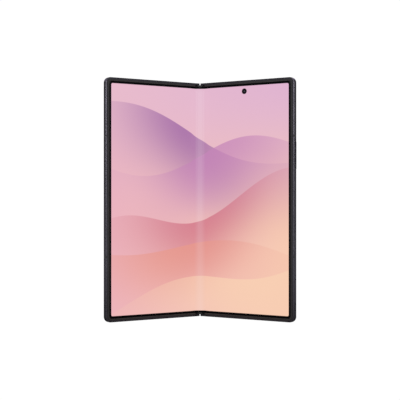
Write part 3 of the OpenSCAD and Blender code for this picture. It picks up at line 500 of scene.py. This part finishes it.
def cover_glass_finish():
    """Polished glass over a dark panel that is a shade paler than the black border round it,
    with a ringed camera window near the top."""
    finish = Finish("cover_glass")
    # The panel: where it begins and ends from the fold, its lower edge, and its corner radius
    inner, outer, foot, radius = 6.4 * MM, 68.3 * MM, 3.5 * MM, 2.6 * MM
    middle = on_half(-1, (inner + outer) / 2, HALF_T, BODY_H / 2)
    half_size = ((outer - inner) / 2, 1.0, BODY_H / 2 - foot)
    panel = finish.past_area(finish.place(tuple(middle), LEFT_TURN), half_size, radius)
    border = finish.ramp(panel, radius, radius + 0.08 * MM)
    dark = finish.varied((0.013, 0.013, 0.016), 0.08, 50.0)
    base = finish.mix(border, dark, (0.003, 0.003, 0.004, 1.0))

    # The camera: its distance from the fold and from the top
    eye_out, eye_down = 36.5 * MM, 9 * MM
    eye = on_half(-1, eye_out, HALF_T, BODY_H - eye_down)
    far = finish.from_axis(finish.place(tuple(eye), LEFT_TURN))
    window = finish.ramp(far, 1.75 * MM, 1.8 * MM, 1.0, 0.0)
    ring = finish.band(far, 1.25 * MM, 0.1 * MM, 0.16 * MM)
    pupil = finish.ramp(far, 0.45 * MM, 0.7 * MM, 1.0, 0.0)
    base = finish.mix(window, base, (0.001, 0.001, 0.001, 1.0))
    base = finish.mix(ring, base, (0.07, 0.07, 0.08, 1.0))
    finish.set(
        Base_Color=finish.mix(pupil, base, (0.02, 0.03, 0.08, 1.0)),
        Roughness=finish.ramp(finish.noise(60.0), 0.3, 0.7, 0.05, 0.1),
        Coat_Weight=0.3,
        Coat_Roughness=0.03,
    )
    return finish.bump(finish.noise(40.0, 1.0), 0.01 * MM, 0.2).material


def from_lens_axes(finish):
    """Distance from the nearest of the three rear camera axes."""
    nearest = None
    for centre in lens_centres():
        far = finish.from_axis(finish.place(tuple(centre), RIGHT_TURN))
        nearest = far if nearest is None else finish.math("MINIMUM", nearest, far)
    return nearest


def lens_finish():
    """Coated glass: a black pupil in a ring of deep blue that turns violet towards the rim, a painted reflection
    of the coating.
    """
    finish = Finish("coated_lens")
    far = from_lens_axes(finish)
    pupil = finish.ramp(far, 0.5 * MM, 0.75 * MM)
    # Painted reflection: the coating's blue to violet sheen, set in the colour by the distance from the axis.
    rim = finish.ramp(far, 0.9 * MM, 1.5 * MM)
    coating_reflection_tint = finish.mix(rim, (0.006, 0.012, 0.05, 1.0), (0.05, 0.012, 0.07, 1.0))
    finish.set(
        Base_Color=finish.mix(pupil, (0.001, 0.001, 0.002, 1.0), coating_reflection_tint),
        Roughness=finish.ramp(finish.noise(400.0), 0.3, 0.7, 0.03, 0.06),
        Coat_Weight=1.0,
        Coat_Roughness=0.02,
        Coat_Tint=(0.75, 0.7, 1.0, 1.0),
    )
    return finish.bump(finish.noise(600.0, 1.0), 0.001 * MM, 0.2).material


def island_finish(colour):
    """Anodised metal, satin on the island's face and polished on the rings round the windows."""
    finish = Finish("camera_metal")
    ring_edge = WINDOW_R + RING_W
    polished = finish.ramp(from_lens_axes(finish), ring_edge, ring_edge + 0.04 * MM, 1.0, 0.0)
    grain = finish.noise(7000.0, 2.0)
    finish.set(
        Base_Color=finish.mix(polished, finish.varied(colour, 0.08, 150.0),
                              tuple(c * 2.2 for c in colour) + (1.0,)),
        Metallic=1.0,
        Roughness=finish.ramp(polished, 0.0, 1.0, finish.ramp(grain, 0.3, 0.7, 0.3, 0.38), 0.13),
    )
    return finish.bump(grain, 0.001 * MM, 0.4).material


def clear_window_finish():
    """Clear flat glass over the lenses."""
    finish = Finish("lens_window")
    finish.set(
        Base_Color=finish.varied((0.9, 0.91, 0.94), 0.03, 100.0),
        Roughness=0.02,
        Transmission_Weight=1.0,
        Specular_IOR_Level=0.15,
        IOR=1.46,
    )
    return finish.bump(finish.noise(200.0, 1.0), 0.001 * MM, 0.1).material


def flash_finish():
    """A yellowish phosphor under a clear lens with fine concentric ribs."""
    finish = Finish("flash_lens")
    far = finish.from_axis(finish.place(tuple(centre_of("camera_flash")), RIGHT_TURN))
    glow = finish.ramp(far, 0.5 * MM, 1.3 * MM)
    finish.set(
        Base_Color=finish.mix(glow, (0.9, 0.72, 0.2, 1.0), (0.86, 0.84, 0.72, 1.0)),
        Roughness=0.18,
        Coat_Weight=0.8,
        Coat_Roughness=0.05,
    )
    return finish.bump(finish.wave(far, 0.32 * MM), 0.04 * MM, 0.5).material


def foil_wrap(name, colour):
    """Crinkled foil with a soft sheen."""
    finish = Finish(name)
    creases = finish.noise(300.0, 5.0, (1.0, 1.0, 2.5))
    finish.set(
        Base_Color=finish.varied(colour, 0.2, 60.0),
        Roughness=finish.ramp(creases, 0.3, 0.7, 0.35, 0.55),
        Metallic=0.2,
    )
    return finish.bump(creases, 0.05 * MM, 0.5).material


def board_finish(name):
    """Green solder mask over a grid of fine copper tracks."""
    finish = Finish(name)
    brick = finish.add("ShaderNodeTexBrick", {
        "Vector": finish.place(turn=RIGHT_TURN), "Scale": 900.0, "Mortar Size": 0.03,
        "Color1": (0.01, 0.09, 0.04, 1.0), "Color2": (0.012, 0.11, 0.05, 1.0),
        "Mortar": (0.06, 0.2, 0.07, 1.0)})
    finish.set(Base_Color=brick.outputs["Color"], Roughness=0.35, Coat_Weight=0.4)
    return finish.bump(brick.outputs["Fac"], 0.02 * MM, 0.4).material


def copper_winding(name):
    """Enamelled copper wire laid in tight turns about the coil's middle."""
    finish = Finish(name)
    far = finish.from_axis(finish.place(tuple(centre_of("charging_coil")), RIGHT_TURN))
    turns = finish.wave(far, 0.45 * MM)
    finish.set(
        Base_Color=finish.mix(finish.ramp(turns, -1.0, 1.0), (0.28, 0.09, 0.03, 1),
                              (0.75, 0.33, 0.13, 1)),
        Metallic=0.9,
        Roughness=0.3,
    )
    return finish.bump(turns, 0.08 * MM, 0.6).material


def flat_cable(name):
    """Amber polyimide film with straight copper tracks under it."""
    finish = Finish(name)
    up = finish.add("ShaderNodeSeparateXYZ", {0: finish.object_point()}).outputs[2]
    tracks = finish.wave(up, 0.6 * MM)
    finish.set(
        Base_Color=finish.mix(finish.ramp(tracks, -0.2, 0.2), (0.24, 0.1, 0.015, 1),
                              (0.5, 0.24, 0.05, 1)),
        Roughness=0.3,
        Coat_Weight=0.5,
    )
    return finish.bump(tracks, 0.01 * MM, 0.5).material


def shown_mesh(name, points, faces, body=None, smooth_faces=True):
    """Makes an object from finished points and faces, with its normals turned outwards."""
    mesh = bpy.data.meshes.new(name)
    mesh.from_pydata(points.reshape(-1, 3).tolist(), [], faces.tolist())
    shell = bmesh.new()
    shell.from_mesh(mesh)
    bmesh.ops.recalc_face_normals(shell, faces=shell.faces)
    shell.to_mesh(mesh)
    shell.free()
    mesh.polygons.foreach_set("use_smooth", np.full(len(mesh.polygons), smooth_faces))
    piece = bpy.data.objects.new(name, mesh)
    bpy.context.scene.collection.objects.link(piece)
    if body:
        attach(piece, body)
    return piece


def grid_faces(rows, columns, start=0, close_rows=False, close_columns=False):
    """Quads of a grid of points, row by row, that may close on itself either way."""
    down = np.arange(rows if close_rows else rows - 1)
    across = np.arange(columns if close_columns else columns - 1)
    row, column = np.meshgrid(down, across, indexing="ij")
    below, beside = (row + 1) % rows, (column + 1) % columns
    corners = [row * columns + column, row * columns + beside,
               below * columns + beside, below * columns + column]
    return start + np.stack(corners, axis=-1).reshape(-1, 4)


def blend_into_spine(piece):
    """Bakes the piece's placement into its points."""
    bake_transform(piece)


class PHONE_OT_studio(bpy.types.Operator):
    """Sets the camera, a white surround, the floor and the softboxes"""

    bl_idname = "phone.studio"
    bl_label = "Studio"

    def camera(self, look):
        camera = bpy.data.objects.new("camera", bpy.data.cameras.new("camera"))
        camera.location = (0.0, -look.camera_distance, look.camera_height)
        camera.rotation_euler = (math.pi / 2, 0.0, 0.0)
        camera.data.lens = look.lens
        camera.data.sensor_width = 36.0
        camera.data.clip_start = 0.01
        bpy.context.scene.collection.objects.link(camera)
        return camera

    def surround(self, look):
        """White where the camera sees it, and dimmer where the phone reflects it."""
        world = bpy.data.worlds.new("surround")
        world.use_nodes = True
        tree = world.node_tree
        sky = tree.nodes["Background"]
        seen = tree.nodes.new("ShaderNodeLightPath")
        shade = tree.nodes.new("ShaderNodeMapRange")
        shade.inputs["To Min"].default_value = look.surround
        shade.inputs["To Max"].default_value = WHITE
        tree.links.new(seen.outputs["Is Camera Ray"], shade.inputs["Value"])
        tree.links.new(shade.outputs["Result"], sky.inputs["Strength"])
        sky.inputs["Color"].default_value = (1.0, 1.0, 1.0, 1.0)
        return world

    def floor(self, look, reach=6.0):
        """A flat square, white where the camera sees it. What the phone reflects has a painted shadow: it is
        dark under the phone and grows brighter away from it."""
        corners = reach * np.array([[-1, -1, 0], [1, -1, 0], [1, 1, 0], [-1, 1, 0]])
        floor = shown_mesh("floor", corners, np.array([[0, 1, 2, 3]]))
        pale = Finish("pale_floor")
        far = pale.from_axis(pale.place(turn=(math.pi / 2, 0.0, 0.0)))
        # Painted shadow: the floor's glow is dim near the phone and grows to the full glow away from it.
        painted_floor_shadow = pale.ramp(far, 0.05, 0.45, 0.02, look.floor_glow)
        seen = pale.add("ShaderNodeLightPath", {}).outputs["Is Camera Ray"]
        pale.set(
            Base_Color=pale.mix(seen, pale.varied((0.3, 0.3, 0.3), 0.01, 5.0), (0, 0, 0, 1)),
            Roughness=0.9,
            Specular_IOR_Level=0.0,
            Emission_Color=(1.0, 1.0, 1.0, 1.0),
            Emission_Strength=pale.ramp(seen, 0.0, 1.0, painted_floor_shadow, WHITE),
        )
        floor.data.materials.append(pale.material)

    def softbox(self, name, place, size, power):
        lamp = bpy.data.lights.new(name, "AREA")
        lamp.shape = "RECTANGLE"
        lamp.size, lamp.size_y = size
        lamp.energy = power
        light = bpy.data.objects.new(name, lamp)
        light.location = place
        aim = Vector((0.0, 0.0, BODY_H / 2)) - Vector(place)
        light.rotation_euler = aim.to_track_quat("-Z", "Y").to_euler()
        light.visible_camera = False
        bpy.context.scene.collection.objects.link(light)

    def execute(self, context):
        look = context.scene.phone_studio
        context.scene.camera = self.camera(look)
        context.scene.view_settings.view_transform = "Standard"
        context.scene.world = self.surround(look)
        self.floor(look)
        for name, (place, size, share) in SOFTBOXES.items():
            self.softbox(name, place, size, look.softbox * share)
        return {"FINISHED"}


def screen_points(side, look):
    """Half of the inner screen, its front and its rear as two grids of points, after the
    distances and heights that they are made from. The first parameter is the distance from the
    fold, the second the place up the phone. A point turns about the fold axis by the rest angle
    times one minus the eased share of the flexible width that is left. The panel is thinner
    where it bends, and its outer corners are quarter circles."""
    edge = HALF_W - look.edge
    flat_end = edge - PANEL_CORNER
    bend = np.linspace(0.0, look.flex_width, 49)
    flat = np.linspace(look.flex_width, flat_end, 24)[1:]
    corner = flat_end + PANEL_CORNER * np.sin(np.linspace(0.0, math.pi / 2, 9))[1:]
    out = np.concatenate([bend, flat, corner])
    past = np.maximum(out - edge + PANEL_CORNER, 0.0)
    inset = PANEL_CORNER - np.sqrt(np.maximum(PANEL_CORNER ** 2 - past ** 2, 0.0))
    low, high = look.edge + inset, BODY_H - look.edge - inset
    height = low + (high - low) * np.linspace(0.0, 1.0, 33)[:, None]
    share = 1.0 - smooth(1.0 - out / look.flex_width)
    step = smooth((out - THICKENS[0]) / THICKENS[1])
    thickness = look.flex_thickness + (look.thickness - look.flex_thickness) * step
    layers = []
    for depth in (look.front_depth, look.front_depth + thickness):
        x, y = turned(out, depth, REST_FOLD * share)
        x, y = np.broadcast_to(side * x, height.shape), np.broadcast_to(y, height.shape)
        layers.append(np.stack([x, y, height], axis=-1))
    return out, height, layers


def screen_piece(side, half, look):
    """Joins the front and rear grids of a half screen. Each cross-section is a closed loop: out
    along the front, round the edge and back along the rear. Its UV map is the place on the open
    screen, from 0 to 1."""
    out, height, (front, rear) = screen_points(side, look)
    rows, columns = height.shape
    loop = np.concatenate([front, rear[:, ::-1]], axis=1)
    faces = [grid_faces(rows, 2 * columns, close_columns=True)]
    for row in (0, rows - 1):
        ahead = np.arange(columns - 1) + row * 2 * columns
        behind = row * 2 * columns + 2 * columns - 1 - np.arange(columns - 1)
        faces.append(np.stack([ahead, ahead + 1, behind - 1, behind], axis=-1))
    piece = shown_mesh(half + "_screen", loop, np.concatenate(faces))
    flat_out = np.broadcast_to(np.concatenate([out, out[::-1]]), (rows, 2 * columns)).ravel()
    flat_up = np.concatenate([height, height[:, ::-1]], axis=1).ravel()
    places = np.stack([0.5 + side * flat_out / (2 * HALF_W), flat_up / BODY_H], axis=-1)
    corners = np.zeros(len(piece.data.loops), int)
    piece.data.loops.foreach_get("vertex_index", corners)
    layer = piece.data.uv_layers.new(name="flat_screen")
    layer.data.foreach_set("uv", places[corners].ravel())
    return piece


class PHONE_OT_inner_screen(bpy.types.Operator):
    """Builds the seamless inner screen in two halves that bend from the spine to each side"""

    bl_idname = "phone.inner_screen"
    bl_label = "Inner screen"

    def execute(self, context):
        look = context.scene.phone_screen
        finish = screen_finish(look)
        for side, half in HALVES:
            piece = screen_piece(side, half, look)
            piece.data.materials.append(finish)
            blend_into_spine(piece)
            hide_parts(half + "_display")
            if side > 0:
                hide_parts("display_fold_zone")
        return {"FINISHED"}


def cable_piece(side, half, look):
    """Half of the two flat cables. The centre line runs at one depth in the half, comes forward
    by an eased step into the spine, and turns about the fold axis by the rest angle times the
    eased share of the way from the spine to the half. Each cross-section is a flat box."""
    out = np.linspace(0.0, look.cable_reach, 45)
    share = smooth((out - look.cable_bend[0]) / (look.cable_bend[1] - look.cable_bend[0]))
    depth = look.cable_depth[0] + (look.cable_depth[1] - look.cable_depth[0]) * share
    low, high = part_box("hinge_flex_cables")
    points, faces = [], []
    for foot in (low.z, high.z - look.cable_width):
        head = foot + look.cable_width
        ring = []
        for behind, up in ((0.0, foot), (0.0, head), (CABLE_T, head), (CABLE_T, foot)):
            x, y = turned(out, depth + behind, REST_FOLD * share)
            ring.append(np.stack([side * x, y, np.full_like(x, up)], axis=-1))
        start = 4 * len(out) * len(points)
        points.append(np.stack(ring, axis=1).reshape(-1, 3))
        faces.append(grid_faces(len(out), 4, start, close_columns=True))
        faces.append(start + np.arange(4) + np.array([[0], [4 * (len(out) - 1)]]))
    return shown_mesh(half + "_flat_cables", np.concatenate(points), np.concatenate(faces),
                      smooth_faces=False)


class PHONE_OT_flat_cables(bpy.types.Operator):
    """Builds the two flat cables as strips that bend from the spine to each side"""

    bl_idname = "phone.flat_cables"
    bl_label = "Flat cables"

    def execute(self, context):
        look = context.scene.phone_cables
        finish = flat_cable("flat_cable")
        for side, half in HALVES:
            piece = cable_piece(side, half, look)
            piece.data.materials.append(finish)
            blend_into_spine(piece)
            if side > 0:
                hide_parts("hinge_flex_cables")
        return {"FINISHED"}


def dome_profile():
    """Radius and depth, point by point, of a front element: a shallow dome of radius 1.5 mm, its
    rim, and a flat back. The dome falls by the square of the radius. Depths run into the phone
    from the window's inner face."""
    angle = np.linspace(0.02, 1.0, 12)
    ring = np.concatenate([1.5 * angle, [1.5, 0.03]])
    depth = np.concatenate([0.35 + 0.45 * (angle ** 2), [0.95, 0.95]])
    return ring * MM, depth * MM


def baffle_profile():
    """A stepped funnel: three flat rings that come forward as they widen, and a plain back."""
    ring = np.array([1.6, 1.6, 2.0, 2.0, 2.45, 2.45, 2.9, 2.9, 3.1, 3.12, 1.66])
    depth = np.array([0.85, 0.65, 0.65, 0.45, 0.45, 0.25, 0.25, 0.12, 0.12, 0.16, 0.92])
    return ring * MM, depth * MM


class PHONE_OT_lens_elements(bpy.types.Operator):
    """Sets a coated front element and a funnel of baffle rings behind each rear window"""

    bl_idname = "phone.lens_elements"
    bl_label = "Rear lens elements"

    def turned_shells(self, ring, depth):
        """A profile carried round each of the three camera axes: a point goes out by the
        cosine of the turn times its radius, and up by the sine of the turn times its radius."""
        turns = np.linspace(0.0, 2 * math.pi, 48, endpoint=False)
        ring, depth = ring[:, None], depth[:, None]
        points, faces = [], []
        for centre in lens_centres():
            out, behind = flat_place(centre)
            shell = on_half(1, out + ring * np.cos(turns), behind - WINDOW_T / 2 - depth,
                            centre.z + ring * np.sin(turns)).reshape(-1, 3)
            faces.append(grid_faces(len(ring), len(turns), len(points) * len(shell),
                                    close_rows=True, close_columns=True))
            points.append(shell)
        return np.concatenate(points), np.concatenate(faces)

    def execute(self, context):
        elements = {
            "rear_lens_dome": (dome_profile(), lens_finish(), "camera_glass"),
            "rear_lens_baffles": (
                baffle_profile(),
                moulded_plastic("lens_baffle", (0.01, 0.01, 0.011), 0.35, 0.2), "camera_black"),
        }
        for name, (profile, finish, slot) in elements.items():
            piece = shown_mesh(name, *self.turned_shells(*profile), "right_half")
            piece.data.materials.append(finish)
        return {"FINISHED"}


class PHONE_OT_port_contacts(bpy.types.Operator):
    """Lays twelve gilt contacts on each face of the charging port's tongue"""

    bl_idname = "phone.port_contacts"
    bl_label = "Port contacts"

    count: IntProperty(name="Contacts", description="Contacts on one face", default=12)

    def execute(self, context):
        # Each contact is a box: four corners at two levels, at even steps across the tongue.
        # Its levels are half the tongue's thickness, less and plus half its own.
        out, depth = flat_place(centre_of("usb_c_port"))
        pitch, width, foot, length = 0.5 * MM, 0.26 * MM, 1.3 * MM, 3.2 * MM
        tongue, lift = 0.35 * MM, 0.02 * MM
        corners = np.array([[0, 0], [1, 0], [1, 1], [0, 1]])
        face, contact, level, corner = np.meshgrid(
            (-1, 1), np.arange(self.count), (tongue - lift, tongue + lift), np.arange(4),
            indexing="ij")
        middle = out + (contact - (self.count - 1) / 2) * pitch
        x = middle + (corners[corner, 0] - 0.5) * width
        points = on_half(1, x, depth + face * level, foot + corners[corner, 1] * length)
        box = np.array([[0, 1, 2, 3], [4, 5, 6, 7], [0, 1, 5, 4],
                        [1, 2, 6, 5], [2, 3, 7, 6], [3, 0, 4, 7]])
        blocks = np.arange(2 * self.count)[:, None, None] * 8
        piece = shown_mesh("port_contacts", points, (blocks + box).reshape(-1, 4), "right_half",
                           smooth_faces=False)
        piece.data.materials.append(brushed_metal("gilt_contact", (0.9, 0.62, 0.25), 0.25))
        return {"FINISHED"}


class PHONE_OT_finishes(bpy.types.Operator):
    """Gives every carried-over piece its finish"""

    bl_idname = "phone.finishes"
    bl_label = "Finishes"

    def execute(self, context):
        metal = context.scene.phone_metal
        frame_colour = tuple(metal.frame_colour)
        key_colour = tuple(c * 1.1 for c in frame_colour)
        finishes = {
            "frame_metal": blasted_metal("anodised_frame", frame_colour, metal.frame_roughness),
            "key_metal": blasted_metal("anodised_key", key_colour, 0.32),
            "spine_metal": brushed_metal("brushed_spine", (0.14, 0.125, 0.145), 0.34),
            "rim_plastic": moulded_plastic("rim_plastic", (0.036, 0.034, 0.034), 0.5, 0.35),
            "cap_plastic": moulded_plastic("cap_plastic", (0.012, 0.012, 0.013), 0.55, 0.35),
            "outer_glass": satin_glass("rear_glass", (0.038, 0.031, 0.041), 0.34),
            "cover_panel": moulded_plastic("dark_panel", (0.004, 0.004, 0.005), 0.3),
            "aerial_plastic": moulded_plastic("aerial_plastic", (0.03, 0.028, 0.033), 0.5, 0.35),
            "hinge_steel": brushed_metal("hinge_steel", (0.45, 0.45, 0.47), 0.33),
            "pin_steel": turned_metal("pin_steel", (0.6, 0.6, 0.62), 0.22),
            "plate_metal": blasted_metal("cast_plate", (0.4, 0.4, 0.42), 0.42, 3000.0),
            "screw_steel": turned_metal("screw_steel", (0.5, 0.5, 0.52), 0.28),
            "camera_metal": island_finish(frame_colour),
            "camera_black": moulded_plastic("camera_black", (0.006, 0.006, 0.007), 0.4),
            "camera_glass": clear_window_finish(),
            "flash_lens": flash_finish(),
            "battery_wrap": foil_wrap("battery_wrap", (0.03, 0.03, 0.034)),
            "board": board_finish("solder_mask"),
            "shield": brushed_metal("tinned_shield", (0.6, 0.6, 0.6), 0.3, (300.0, 300.0, 9000.0)),
            "copper": copper_winding("copper_winding"),
            "flex": flat_cable("flex_film"),
            "port_steel": brushed_metal("port_steel", (0.3, 0.3, 0.31), 0.3),
            "speaker_box": moulded_plastic("speaker_box", (0.015, 0.015, 0.016), 0.5),
            "magnet": turned_metal("nickel", (0.6, 0.58, 0.55), 0.18),
        }
        own = {"cover_glass": cover_glass_finish()}
        for part in frame["record"]["subparts"]:
            node = part["node"]
            finish = own.get(node) or finishes.get(part["material_slot"])
            if finish is None:  # a display node, which the new screen replaces
                continue
            mesh = frame["nodes"][node].data
            mesh.materials.clear()
            mesh.materials.append(finish)
        return {"FINISHED"}


class PHONE_PT_parts(bpy.types.Panel):
    """Lists the steps that dress the phone"""

    bl_label = "Foldable phone"
    bl_space_type = "VIEW_3D"
    bl_region_type = "UI"
    bl_category = "Phone"

    def draw(self, context):
        for step in STEPS:
            self.layout.operator(step.bl_idname)
        for group in GROUPS:
            look = getattr(context.scene, group)
            for name in look.__annotations__:
                self.layout.prop(look, name)


GROUPS = {"phone_screen": ScreenLook, "phone_cables": CableLook, "phone_metal": MetalLook,
          "phone_studio": StudioLook}
STEPS = (PHONE_OT_studio, PHONE_OT_inner_screen, PHONE_OT_flat_cables, PHONE_OT_lens_elements,
         PHONE_OT_port_contacts, PHONE_OT_finishes)


def register():
    for name, group in GROUPS.items():
        bpy.utils.register_class(group)
        setattr(bpy.types.Scene, name, PointerProperty(type=group))
    for step in STEPS + (PHONE_PT_parts,):
        bpy.utils.register_class(step)


def unregister():
    for step in (PHONE_PT_parts,) + STEPS[::-1]:
        bpy.utils.unregister_class(step)
    for name, group in GROUPS.items():
        delattr(bpy.types.Scene, name)
        bpy.utils.unregister_class(group)


def main():
    register()
    bpy.ops.phone.studio()
    bpy.ops.phone.inner_screen()
    bpy.ops.phone.flat_cables()
    bpy.ops.phone.lens_elements()
    bpy.ops.phone.port_contacts()
    bpy.ops.phone.finishes()


if __name__ == "__main__":
    main()
